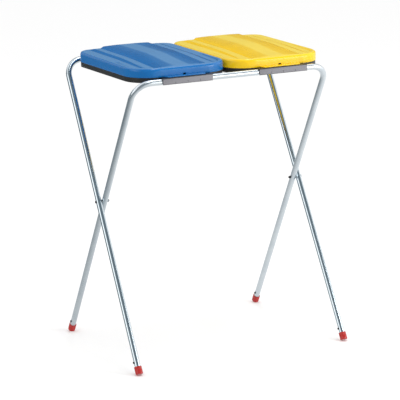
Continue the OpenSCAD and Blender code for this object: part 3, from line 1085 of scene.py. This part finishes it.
@dataclass
class BagRing:
    """A sack ring: outer band, top flange, upright collar and two hinge hooks."""

    side: Side
    outline: Outline
    top: float
    axis: Point2
    inset: float = 1.5 * MM
    band_h: float = 15.7 * MM
    band_t: float = 3.0 * MM
    collar_inset: float = 12.5 * MM
    collar_t: float = 2.5 * MM
    collar_h: float = 15.0 * MM
    hook_w: float = 30.0 * MM
    hook_x: float = 108.0 * MM

    @property
    def node(self) -> str:
        """Name of the ring's node."""
        return f"bag_ring_{self.side.tag}"

    def section(self) -> list[Point2]:
        """Rounded section of the ring, as (inset, z)."""
        low = self.top - self.band_h
        under = self.top - self.band_t
        collar_in = self.collar_inset + self.collar_t
        edge, soft = 0.8 * MM, 1.1 * MM
        collar_top, band_in = self.top + self.collar_h, self.inset + self.band_t
        return rounded([
            (self.inset, low, edge), (self.inset, self.top, edge), (self.collar_inset, self.top, edge),
            (self.collar_inset, collar_top, soft), (collar_in, collar_top, soft),
            (collar_in, under, edge), (band_in, under, soft), (band_in, low, edge),
        ])

    def build(self, material: bpy.types.Material) -> None:
        """Sweep the ring, add its hooks and dress it."""
        piece = new_object(f"{self.node}_moulding", sweep_outline(self.outline, self.section()))
        hook = BarHook(self.axis)
        outer = hook.bore_r + hook.wall
        arm_top = self.top - 1.0 * MM - self.axis[1]
        arm_reach = self.outline.rear - self.inset - self.band_t / 2 - self.axis[0]
        leave = 180 + math.degrees(math.asin(-arm_top / outer))
        arm = [(arm_reach, arm_top), (arm_reach, -outer)]
        shape = hook.outline(-50.0, leave, 270.0, arm)
        for sign in (-1, 1):
            tool = hook.solid(shape, self.outline.centre_x + sign * self.hook_x, self.hook_w)
            combine(piece, tool, "UNION")
        crease(piece)
        place(piece, f"ring_{self.side.tag}", material, "ring_black", self.node)


@dataclass
class FrontClip:
    """A long clip over the front bar, with slotted spring fingers and two screws."""

    side: Side
    outline: Outline
    bar: Point2
    ring_top: float
    length: float = 172.0 * MM
    wall: float = 2.3 * MM
    face_h: float = 20.7 * MM
    bore_r: float = 9.8 * MM
    rear_up: float = 3.5 * MM
    seat_inset: float = 1.5 * MM
    slot_w: float = 1.2 * MM
    fingers: int = 4
    screw_pitch: float = 120.0 * MM
    screw_up: float = 5.8 * MM
    screw_r: float = 3.0 * MM
    band_t: float = 3.0 * MM
    # Heights of the painted shadow strips along the top and the bottom of the face, which keep the near-black
    # colour.
    top_shadow_h: float = 3.2 * MM
    bottom_shadow_h: float = 1.8 * MM

    def section(self) -> list[Point2]:
        """Section of the clip as (y, z)."""
        y, z = self.bar
        face = y - self.bore_r - self.wall
        seat = self.outline.front + self.seat_inset
        low = self.ring_top - self.face_h
        rear_z = z + self.rear_up
        end = math.degrees(math.asin(self.rear_up / self.bore_r))
        # The sharp corners on the face mark where the painted shadow strips end.
        outer = rounded([(seat, rear_z, 0.0), (seat, self.ring_top, 1.0 * MM), (face, self.ring_top, 2.2 * MM),
                         (face, self.ring_top - self.top_shadow_h, 0.0), (face, low + self.bottom_shadow_h, 0.0),
                         (face, low, 0.9 * MM), (face + self.wall, low, 0.9 * MM)], 4)
        return outer + arc(self.bar, self.bore_r, 180.0, end, 24)

    def build(self, finishes: Finishes) -> None:
        """Extrude the clip, cut its slots, set its screws and dress both."""
        middle = self.outline.centre_x
        piece = new_object(f"front_clip_{self.side.tag}_moulding",
                           extruded(self.section(), middle - self.length / 2, middle + self.length / 2))
        soften(piece, 0.5 * MM)
        low = self.ring_top - self.face_h
        y = self.bar[0] - self.bore_r
        for i in range(1, self.fingers):
            x = middle + (i / self.fingers - 0.5) * self.length
            near, far, under = y + 1 * MM, y - 2 * self.wall, low - 1 * MM
            box = [(far, under), (near, under), (near, self.bar[1]), (far, self.bar[1])]
            tool = new_object("slot", extruded(box, x - self.slot_w / 2, x + self.slot_w / 2))
            combine(piece, tool, "DIFFERENCE")
        # Painted shadow: only the face band between the two strips gets the clip's own grey; the rest keeps the
        # near-black painted shade.
        slack = 0.05 * MM
        layer = piece.data.attributes.new(PAINTED_LIGHT_MASK, "FLOAT", "POINT")
        for vertex, item in zip(piece.data.vertices, layer.data):
            on_face = vertex.co.y < y - self.wall + slack
            in_band = low + self.bottom_shadow_h - slack < vertex.co.z < self.ring_top - self.top_shadow_h + slack
            item.value = 1.0 if on_face and in_band else 0.0
        crease(piece)
        body = f"ring_{self.side.tag}"
        place(piece, body, finishes.clip, "clip_black", f"front_clip_{self.side.tag}")
        self.build_screws(body, finishes.zinc)

    def build_screws(self, body: str, material: bpy.types.Material) -> None:
        """Spin both pan-head screws into one piece."""
        head_y = self.outline.front + self.seat_inset + self.band_t
        head_h, rim, socket, shank_r, shank_l = 2.4 * MM, 1.0 * MM, 0.9 * MM, 1.5 * MM, 6.0 * MM
        profile = [(0.0, -shank_l), (shank_r, -shank_l), (shank_r, 0.0), (self.screw_r, 0.0)]
        profile += dome(self.screw_r, rim, head_h - rim, 6, 5)
        profile += [(socket, head_h), (socket, head_h - socket), (0.0, head_h - socket)]
        joined = bmesh.new()
        for sign in (-1, 1):
            spot = (self.outline.centre_x + sign * self.screw_pitch / 2, head_y, self.bar[1] + self.screw_up)
            turn = Matrix.Translation(spot) @ Matrix.Rotation(-math.pi / 2, 4, "X")
            absorb(joined, lathe(profile, turn, 32))
        piece = new_object(f"clip_screws_{self.side.tag}_pan", joined)
        place(piece, body, material, "zinc_hardware", f"clip_screws_{self.side.tag}")


# ---------------------------------------------------------------- lids


@dataclass
class Lid:
    """A moulded lid: soft-edged skirt, stepped top that fades to the front, lip and hooks."""

    side: Side
    outline: Outline
    low: float
    axis: Point2
    edge_h: float = 28.5 * MM
    edge_r: float = 9.0 * MM
    wall: float = 2.5 * MM
    grid_inset: float = 12.0 * MM
    crest_h: float = 15.0 * MM
    crest_half: float = 25.0 * MM
    wall_at: float = 85.0 * MM
    wall_run: float = 12.0 * MM
    wall_h: float = 5.4 * MM
    step_from: float = 130.0 * MM
    step_to: float = 112.0 * MM
    step_h: float = 3.5 * MM
    tilt: float = 5.0 * MM
    rise_start: float = 14.0 * MM
    rise_end: float = 250.0 * MM
    front_share: float = 0.35
    sink: float = 4.5 * MM
    sink_end: float = 230.0 * MM
    rim_run: float = 10.0 * MM
    # Painted light on the top: flat lands get painted sheen and a rougher finish; on the glossier slopes beside
    # the crest the sheen fades to painted shade towards each wall.
    glossy_shaded_from: float = 19.0 * MM
    crest_side_share: float = 0.35
    slope_low: float = 0.02
    slope_high: float = 0.14
    rear_fade: float = 14.0 * MM
    lip_w: float = 142.0 * MM
    lip_out: float = 18.0 * MM
    lip_t: float = 3.0 * MM
    window_w: float = 10.0 * MM
    window_h: float = 4.5 * MM
    hook_w: float = 36.0 * MM
    hook_x: float = 60.0 * MM

    @property
    def node(self) -> str:
        """Name of the lid's node."""
        return f"lid_{self.side.tag}"

    @property
    def top(self) -> float:
        """Height of the flat margin."""
        return self.low + self.edge_h

    def slope_at(self, y: float) -> float:
        """How much higher the margin is than at the front, at a place along the lid."""
        return self.tilt * (y - self.outline.front) / (self.outline.rear - self.outline.front)

    def across(self, x: float, lifted: float) -> float:
        """Height of the full section above the margin.

        Args:
            x: Distance from the lid's middle line.
            lifted: How much higher the margin is there than at the front.

        Returns:
            The height where the panel has its full rise.
        """
        far = abs(x)
        height = self.step_h * smoothstep(self.step_from, self.step_to, far)
        half_run = self.wall_run / 2
        height += self.wall_h * smoothstep(self.wall_at + half_run, self.wall_at - half_run, far)
        crown = self.crest_h - self.step_h - self.wall_h - lifted
        foot = self.wall_at - half_run
        slope = min(1.0, max(0.0, (foot - far) / (foot - self.crest_half)))
        return height + crown * math.sin(slope * math.pi / 2)

    def along(self, y: float) -> float:
        """Share of the full rise at a distance from the front."""
        past = y - self.outline.front
        front = self.front_share * smoothstep(self.rise_start, self.rise_start + self.rim_run, past)
        front += (1.0 - self.front_share) * smoothstep(self.rise_start, self.rise_end, past)
        rear_edge = self.outline.rear - self.grid_inset
        return front * smoothstep(rear_edge, rear_edge - self.rear_fade, y)

    def reach(self, y: float) -> float:
        """Half width of the top inside its rim at a place along the lid."""
        o, inset = self.outline, self.grid_inset
        half = o.half_w - inset
        for edge, radius in ((o.front + inset, o.front_r - inset), (o.rear - inset, o.rear_r - inset)):
            into = abs(y - edge)
            if into < radius:
                return half - radius + math.sqrt(max(0.0, radius**2 - (radius - into) ** 2))
        return half

    def rise(self, x: float, y: float) -> float:
        """Height of the top above the rim's front: the sunk panel, its steps and its crest."""
        lifted = self.slope_at(y)
        past = y - self.outline.front
        depth = self.sink * smoothstep(self.sink_end, self.grid_inset, past)
        inside = min(self.reach(y) - abs(x), past - self.grid_inset)
        sunk = depth * smoothstep(0.0, self.rim_run, inside)
        return lifted - sunk + self.across(x, lifted) * self.along(y)

    def steepness(self, x: float, y: float) -> float:
        """Slope of the top across the lid."""
        step = 0.5 * MM
        return (self.rise(x + step, y) - self.rise(x - step, y)) / (2 * step)

    def columns(self) -> list[float]:
        """Places of the grid's columns on one half, denser at the steps."""
        spans = [(0, 30, 5), (30, 76, 9), (76, 92, 10), (92, 108, 4), (108, 132, 12), (132, 156, 4)]
        places = [0.0]
        for start, end, count in spans:
            places += [(start + (end - start) * (i + 1) / count) * MM for i in range(count)]
        return places

    def rows(self) -> list[tuple[float, float, float]]:
        """Rows of the grid as (y, half width, turn of the edge in degrees)."""
        inset = self.grid_inset
        o = self.outline
        half, front, rear = o.half_w - inset, o.front + inset, o.rear - inset
        rf, rr = o.front_r - inset, o.rear_r - inset
        rows = []
        for i in range(19):
            a = math.pi / 2 * i / 18
            rows.append((front + rf * (1 - math.cos(a)), half - rf + rf * math.sin(a), math.degrees(a) - 90))
        start, end, count = front + rf, rear - rr, 60
        rows += [(start + (end - start) * i / count, half, 0.0) for i in range(1, count)]
        for i in range(13):
            a = math.pi / 2 * (1 - i / 12)
            rows.append((rear - rr * (1 - math.cos(a)), half - rr + rr * math.sin(a), 90 - math.degrees(a)))
        return rows

    def grid(self) -> tuple[list[list[Vector]], list[Vector]]:
        """Plan grid of the top and the outward directions along its border.

        Returns:
            Rows of points relative to the lid's middle, and the border's outward directions in
            the order front, right, rear, left.
        """
        fixed = 76.0 * MM
        half = self.outline.half_w - self.grid_inset
        columns = self.columns()
        offsets = [-c for c in reversed(columns[1:])] + columns
        points, turns = [], []
        for y, reach, turn in self.rows():
            row = []
            for c in offsets:
                far = abs(c)
                if far > fixed:
                    far = fixed + (far - fixed) * (reach - fixed) / (half - fixed)
                row.append(Vector((math.copysign(far, c), y, 0.0)))
            points.append(row)
            turns.append(math.radians(turn))
        wide = len(offsets)
        outward = [Vector((0, -1, 0))] * (wide - 1)
        outward += [Vector((math.cos(t), math.sin(t), 0)) for t in turns[:-1]]
        outward += [Vector((0, 1, 0))] * (wide - 1)
        outward += [Vector((-math.cos(t), math.sin(t), 0)) for t in reversed(turns[1:])]
        return points, outward

    @staticmethod
    def border(rows: list[list[object]]) -> list[object]:
        """Items along the border of a grid, in the order front, right, rear, left."""
        edge = rows[0][:-1] + [row[-1] for row in rows[:-1]]
        edge += list(reversed(rows[-1][1:])) + [row[0] for row in reversed(rows[1:])]
        return edge

    def rim_profile(self) -> list[Point2]:
        """Edge of the shell from the top grid's border over the skirt to the underside's, as (inset, z)."""
        r, top, low, wall = self.edge_r, self.top, self.low, self.wall
        soft = 0.7 * MM
        profile = [(self.grid_inset - 1.5 * MM, top), (r, top)]
        profile += arc((r, top - r), r, 90, 180, 9)[1:]
        profile += [(0.0, top - r - 5 * MM), (0.0, low + 6 * MM), (0.0, low + soft)]
        profile += [(soft * 0.3, low + soft * 0.3), (soft, low), (wall - soft, low),
                    (wall - soft * 0.3, low + soft * 0.3), (wall, low + soft), (wall, top - r)]
        profile += arc((r, top - r), r - wall, 180, 90, 6)[1:]
        return profile

    def build(self, material: bpy.types.Material) -> None:
        """Build the shell, add lip and hooks, cut the window and dress the lid."""
        points, outward = self.grid()
        shift = Vector((self.outline.centre_x, 0, 0))
        mesh = bmesh.new()
        layers = []
        for drop in (0.0, self.wall):
            layer = []
            for row in points:
                layer.append([mesh.verts.new(p + shift + Vector((0, 0, self.top - drop + self.rise(p.x, p.y))))
                              for p in row])
            layers.append(layer)
            for lower, upper in zip(layer, layer[1:]):
                for k in range(len(lower) - 1):
                    mesh.faces.new((lower[k], lower[k + 1], upper[k + 1], upper[k]))
        rim = self.border(points)
        rings = [self.border(layers[0])]
        for inset, z in self.rim_profile():
            reach = self.grid_inset - inset
            ring = []
            for spot, way in zip(rim, outward):
                lift = self.slope_at(spot.y) * (z - self.low) / self.edge_h
                ring.append(mesh.verts.new(spot + shift + way * reach + Vector((0, 0, z + lift))))
            rings.append(ring)
        rings.append(self.border(layers[1]))
        bridge(mesh, rings, closed=False)
        piece = new_object(f"{self.node}_shell", mesh, 50.0)
        combine(piece, self.lip(), "UNION")
        combine(piece, self.window(), "DIFFERENCE")
        for tool in self.hooks():
            combine(piece, tool, "UNION")
        self.paint_land_sheen(piece)
        crease(piece, 50.0)
        place(piece, f"lid_{self.side.tag}", material, f"lid_{'blue' if self.side is Side.LEFT else 'yellow'}",
              self.node)

    def paint_land_sheen(self, piece: bpy.types.Object) -> None:
        """Mark how flat the top is, for the rougher finish and the painted sheen, a lighter colour, of its flat
        lands.
        """
        layer = piece.data.attributes.new(PAINTED_LIGHT_MASK, "FLOAT", "POINT")
        for vertex, item in zip(piece.data.vertices, layer.data):
            x, y = vertex.co.x - self.outline.centre_x, vertex.co.y
            off = abs(vertex.co.z - self.top - self.rise(x, y))
            on_top = smoothstep(1.5 * MM, 0.5 * MM, off)
            flat = smoothstep(self.slope_high, self.slope_low, abs(self.steepness(x, y)))
            item.value = on_top * flat * self.band(abs(x), y)

    def band(self, far: float, y: float) -> float:
        """Share of the lands' rougher finish and painted sheen: less on the glossier slopes between the crest
        and the walls, fading to painted shade next to each wall.
        """
        glossy_shaded_slope = smoothstep(self.crest_half, self.crest_half + 2 * MM, far)
        glossy_shaded_slope *= smoothstep(self.wall_at + 2 * MM, self.wall_at - 2 * MM, far)
        glossy_shaded_slope *= smoothstep(self.glossy_shaded_from, self.glossy_shaded_from + 5 * MM, y - self.outline.front)
        tone = self.crest_side_share * smoothstep(self.wall_at, self.crest_half, far)
        return 1.0 - glossy_shaded_slope * (1.0 - tone)

    def lip(self) -> bpy.types.Object:
        """Finger lip along the middle of the front rim."""
        x, front = self.outline.centre_x, self.outline.front
        half, slant, root = self.lip_w / 2, 7.0 * MM, 1.5 * MM
        plan = rounded([(x - half, front + root, 0.0), (x + half, front + root, 0.0), (x + half, front, 0.0),
                        (x + half - slant, front - self.lip_out, 5 * MM),
                        (x - half + slant, front - self.lip_out, 5 * MM), (x - half, front, 0.0)], 5)
        mesh = bmesh.new()
        levels = (self.low, self.low + self.lip_t)
        close_prism(mesh, [[mesh.verts.new((u, v, z)) for u, v in plan] for z in levels])
        piece = new_object("lip", mesh)
        soften(piece, 0.9 * MM, 3)
        return piece

    def window(self) -> bpy.types.Object:
        """Cutter for the catch window above the lip."""
        x, low, front = self.outline.centre_x, self.low + self.lip_t, self.outline.front
        out, deep, high = front - 2 * MM, front + 4 * MM, low + self.window_h
        box = [(out, low), (deep, low), (deep, high), (out, high)]
        return new_object("window", extruded(box, x - self.window_w / 2, x + self.window_w / 2))

    def hooks(self) -> list[bpy.types.Object]:
        """Both hinge hooks of the lid."""
        hook = BarHook(self.axis)
        outer = hook.bore_r + hook.wall
        reach = self.outline.rear - self.wall / 2 - self.axis[0]
        under = 0.2 * MM
        arm = [(reach, outer), (reach, under)]
        shape = hook.outline(-90.0, 90.0, 180 - math.degrees(math.asin(under / outer)), arm)
        return [hook.solid(shape, self.outline.centre_x + sign * self.hook_x, self.hook_w) for sign in (-1, 1)]


# ---------------------------------------------------------------- the stand


@dataclass
class SackStand:
    """The whole stand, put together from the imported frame."""

    finishes: Finishes
    lid_gap: float = 0.3 * MM
    lid_w: float = 336.0 * MM
    ring_drop: float = 0.8 * MM
    clip_seat: float = 1.5 * MM
    hinge_gap: float = 2.7 * MM
    hook_wall: float = 3.5 * MM

    def joint_spot(self, name: str) -> Vector:
        """Place of a joint's axis."""
        return next(Vector(j["pos_m"]) for j in frame["record"]["behaviour"]["joints"] if j["name"] == name)

    def build(self) -> None:
        """Build every sub-assembly in order."""
        pivot = self.joint_spot("frame_fold")
        outer = TubeFrame("outer_frame", Leaning.TO_FRONT, pivot.z)
        inner = TubeFrame("inner_frame", Leaning.TO_REAR, pivot.z)
        outer.build(self.finishes.outer_tube)
        inner.build(self.finishes.inner_tube)
        Feet(outer, inner).build(self.finishes)
        hinge = self.joint_spot("lid_hinge_left")
        axis = (hinge.y, hinge.z)
        ring_top = hinge.z - self.ring_drop
        for side in Side:
            Pivot(side).build(self.finishes)
            low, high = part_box(f"lid_{side.tag}")
            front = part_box(f"front_clip_{side.tag}")[1][1] - self.clip_seat
            rear = hinge.y - outer.tube_r - self.hinge_gap - self.hook_wall
            outline = Outline((low[0] + high[0]) / 2, self.lid_w / 2, front, rear)
            BagRing(side, outline, ring_top, axis).build(self.finishes.ring)
            FrontClip(side, outline, (inner.bar_y, inner.bar_z), ring_top).build(self.finishes)
            Lid(side, outline, ring_top + self.lid_gap, axis).build(self.finishes.lids[side])


# ---------------------------------------------------------------- studio


@dataclass(frozen=True)
class RoomZone:
    """A soft round patch of the room that reflections see."""

    azimuth: float
    elevation: float
    inner: float
    outer: float
    colour: Colour


def smooth_range(tree: bpy.types.NodeTree, source: bpy.types.NodeSocket, low: float,
                 high: float) -> bpy.types.NodeSocket:
    """Ease a value from 0 at low to 1 at high in a node tree."""
    made = tree.nodes.new("ShaderNodeMapRange")
    made.interpolation_type = "SMOOTHSTEP"
    made.inputs["From Min"].default_value = low
    made.inputs["From Max"].default_value = high
    tree.links.new(source, made.inputs["Value"])
    return made.outputs["Result"]


def split_reflections(tree: bpy.types.NodeTree, plain: bpy.types.NodeSocket, mirrored: bpy.types.NodeSocket,
                      surface: bpy.types.NodeSocket) -> None:
    """Show one shader to reflections and another to everything else.

    Args:
        tree: Tree of the floor or the world.
        plain: Shader for every ray but glossy ones.
        mirrored: Shader for glossy rays.
        surface: Input of the output node.
    """
    path = tree.nodes.new("ShaderNodeLightPath")
    mix = tree.nodes.new("ShaderNodeMixShader")
    tree.links.new(path.outputs["Is Glossy Ray"], mix.inputs["Fac"])
    tree.links.new(plain, mix.inputs[1])
    tree.links.new(mirrored, mix.inputs[2])
    tree.links.new(mix.outputs["Shader"], surface)


@dataclass
class Studio:
    """Plain pale floor, soft light and the camera."""

    dome_strength: float = 1.0
    floor_tone: float = 0.97
    room_colour: Colour = (1.3, 1.3, 1.32)
    zones: tuple[RoomZone, ...] = (
        RoomZone(153.0, 14.0, 22.0, 50.0, (0.13, 0.14, 0.16)),
        RoomZone(-5.0, 40.0, 34.0, 66.0, (0.17, 0.22, 0.25)),
        RoomZone(-30.0, 0.0, 20.0, 45.0, (0.22, 0.25, 0.28)),
        RoomZone(-130.0, 5.0, 22.0, 36.0, (0.2, 0.25, 0.27)),
        RoomZone(-92.0, 15.0, 9.0, 17.0, (1.9, 1.9, 1.9)),
    )
    floor_dark: Colour = (0.16, 0.2, 0.22)
    floor_bright: Colour = (0.95, 0.97, 0.98)
    floor_from: float = -2.2
    floor_to: float = 1.2
    floor_size: float = 60.0
    azimuth: float = -27.05
    elevation: float = 12.86
    roll: float = -1.02
    distance: float = 6.9447
    target: tuple[float, float, float] = (-0.00374, 0.0, 0.46319)
    lens: float = 191.3
    lamp_aim: tuple[float, float, float] = (0.0, 0.0, 0.55)

    def build(self) -> None:
        """Build floor, lights and camera."""
        self.build_floor()
        self.build_world()
        self.build_lights()
        self.build_camera()

    def build_floor(self) -> None:
        """Lay the floor."""
        mesh = bmesh.new()
        bmesh.ops.create_grid(mesh, x_segments=1, y_segments=1, size=self.floor_size / 2)
        floor = new_object("floor", mesh)
        dresser = Dresser("pale floor")
        tone = self.floor_tone
        dresser.set("Base Color", (tone, tone, tone))
        dresser.set("Roughness", 0.9)
        dresser.set("Specular IOR Level", 0.0)
        tree = dresser.tree
        spot = tree.nodes.new("ShaderNodeTexCoord")
        parts = tree.nodes.new("ShaderNodeSeparateXYZ")
        tree.links.new(spot.outputs["Object"], parts.inputs["Vector"])
        across = smooth_range(tree, parts.outputs["X"], self.floor_from, self.floor_to)
        glow = tree.nodes.new("ShaderNodeEmission")
        tree.links.new(dresser.blend(across, self.floor_dark, self.floor_bright), glow.inputs["Color"])
        output = next(n for n in tree.nodes if n.type == "OUTPUT_MATERIAL")
        split_reflections(tree, dresser.shader.outputs["BSDF"], glow.outputs["Emission"],
                          output.inputs["Surface"])
        floor.data.materials.append(dresser.material)

    def build_world(self) -> None:
        """Light the scene evenly; reflections see a bright room with soft patches of other tones."""
        world = bpy.data.worlds.new("studio")
        bpy.context.scene.world = world
        world.use_nodes = True
        tree = world.node_tree
        tree.nodes.clear()
        output = tree.nodes.new("ShaderNodeOutputWorld")
        even = tree.nodes.new("ShaderNodeBackground")
        even.inputs["Color"].default_value = (1.0, 1.0, 1.0, 1.0)
        even.inputs["Strength"].default_value = self.dome_strength
        room = tree.nodes.new("ShaderNodeBackground")
        colour: bpy.types.NodeSocket | None = None
        heading = tree.nodes.new("ShaderNodeTexCoord")
        for zone in self.zones:
            dot = tree.nodes.new("ShaderNodeVectorMath")
            dot.operation = "DOT_PRODUCT"
            dot.inputs[1].default_value = direction(zone.azimuth, zone.elevation)
            tree.links.new(heading.outputs["Generated"], dot.inputs[0])
            mask = smooth_range(tree, dot.outputs["Value"], math.cos(math.radians(zone.outer)),
                                math.cos(math.radians(zone.inner)))
            mix = tree.nodes.new("ShaderNodeMix")
            mix.data_type = "RGBA"
            tree.links.new(mask, mix.inputs["Factor"])
            if colour is None:
                mix.inputs["A"].default_value = (*self.room_colour, 1.0)
            else:
                tree.links.new(colour, mix.inputs["A"])
            mix.inputs["B"].default_value = (*zone.colour, 1.0)
            colour = mix.outputs["Result"]
        tree.links.new(colour, room.inputs["Color"])
        split_reflections(tree, even.outputs["Background"], room.outputs["Background"],
                          output.inputs["Surface"])

    def area(self, name: str, spot: tuple[float, float, float], size: float, power: float,
             depth: float | None = None) -> None:
        """Add one soft area light that faces the stand."""
        data = bpy.data.lights.new(name, "AREA")
        data.shape = "RECTANGLE"
        data.size = size
        data.size_y = depth or size
        data.energy = power
        lamp = bpy.data.objects.new(name, data)
        bpy.context.scene.collection.objects.link(lamp)
        lamp.location = spot
        aim = Vector(self.lamp_aim) - Vector(spot)
        lamp.rotation_mode = "QUATERNION"
        lamp.rotation_quaternion = aim.to_track_quat("-Z", "Y")

    def build_lights(self) -> None:
        """Hang the soft boxes."""
        self.area("key_box", (2.6, -3.2, 1.5), 2.0, 60.0)
        self.area("top_box", (0.6, -0.3, 4.2), 3.6, 32.0, 0.6)

    def build_camera(self) -> None:
        """Place the camera."""
        roll = math.radians(self.roll)
        back = direction(self.azimuth, self.elevation)
        right = (-back).cross(Vector((0, 0, 1))).normalized()
        up = right.cross(-back)
        rolled_right = right * math.cos(roll) + up * math.sin(roll)
        rolled_up = up * math.cos(roll) - right * math.sin(roll)
        data = bpy.data.cameras.new("camera")
        data.sensor_width = 36.0
        data.lens = self.lens
        data.clip_start = 0.1
        data.clip_end = 200.0
        camera = bpy.data.objects.new("camera", data)
        bpy.context.scene.collection.objects.link(camera)
        turn = Matrix((rolled_right, rolled_up, back)).transposed().to_4x4()
        turn.translation = Vector(self.target) + back * self.distance
        camera.matrix_world = turn
        bpy.context.scene.camera = camera


def main() -> None:
    """Build the studio and the stand."""
    logging.basicConfig(level=logging.INFO, format="%(name)s: %(message)s")
    bpy.context.scene.view_settings.view_transform = "Standard"
    Studio().build()
    SackStand(Finishes()).build()


if __name__ == "__main__":
    main()
